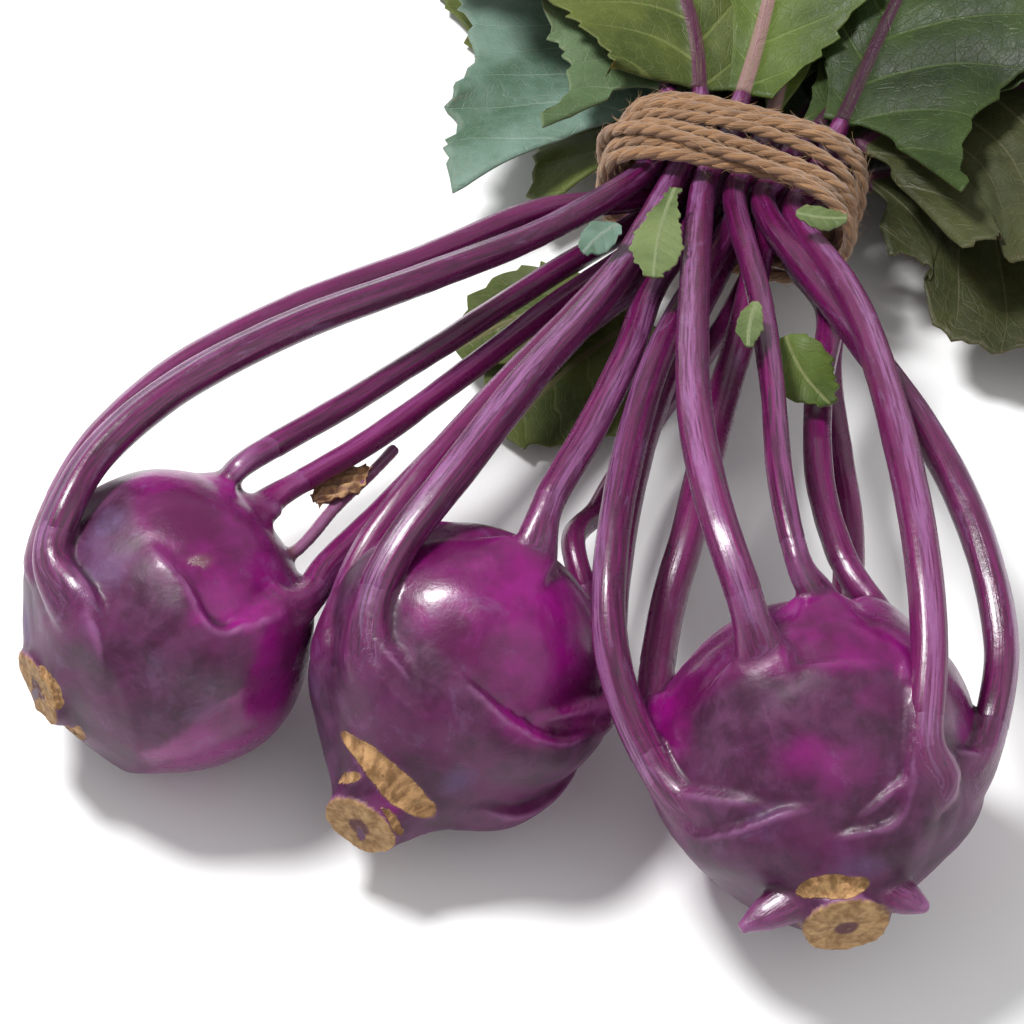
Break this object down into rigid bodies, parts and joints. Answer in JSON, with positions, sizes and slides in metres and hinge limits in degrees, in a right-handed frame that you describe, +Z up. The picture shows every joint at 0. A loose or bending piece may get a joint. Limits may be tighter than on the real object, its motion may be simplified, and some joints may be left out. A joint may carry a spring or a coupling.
{
  "type": "kohlrabi",
  "caption": "Tied bunch of purple kohlrabi lying on its side, round bulbs with long curved leaf stalks held by twine and broad green leaves.",
  "frame": {"origin": "centre of the small flat spot under the middle bulb", "axes": "+Z up from the surface that the bunch lies on, +Y from the bulbs toward the leaves, +X toward the right bulb"},
  "size_m": [0.3461, 0.4042, 0.0937],
  "materials": {
    "kohlrabi_skin": "satin purple skin with a waxy bloom, tan corky scars and cut root ends",
    "leaf": "matte green leaf, paler below, veined",
    "dry_leaf": "dry papery brown leaf",
    "twine": "brown jute twine, plied and fibrous"
  },
  "bodies": {
    "root": {"kohlrabi_left": "kohlrabi_skin", "kohlrabi_middle": "kohlrabi_skin", "kohlrabi_right": "kohlrabi_skin", "leaf_bottom_1": "leaf", "leaf_bottom_2": "leaf", "leaf_bottom_3": "leaf", "leaf_bottom_4": "leaf", "leaf_bottom_5": "leaf", "leaf_bottom_6": "leaf", "leaf_middle_1": "leaf", "leaf_middle_2": "leaf", "leaf_middle_3": "leaf", "leaf_middle_4": "leaf", "leaf_middle_5": "leaf", "leaf_middle_6": "leaf", "leaf_top_1": "leaf", "leaf_top_2": "leaf", "leaf_top_3": "leaf", "leaf_top_4": "leaf", "leaf_top_5": "leaf", "leaf_top_6": "leaf", "leaflet_left_pale": "leaf", "leaflet_left_round": "leaf", "leaflet_centre_pale": "leaf", "leaflet_right_round": "leaf", "leaflet_right_pale": "leaf", "leaf_folded_under": "leaf", "leaf_folded_left": "leaf", "dry_leaf_scrap": "dry_leaf", "twine": "twine"}
  },
  "joints": []
}
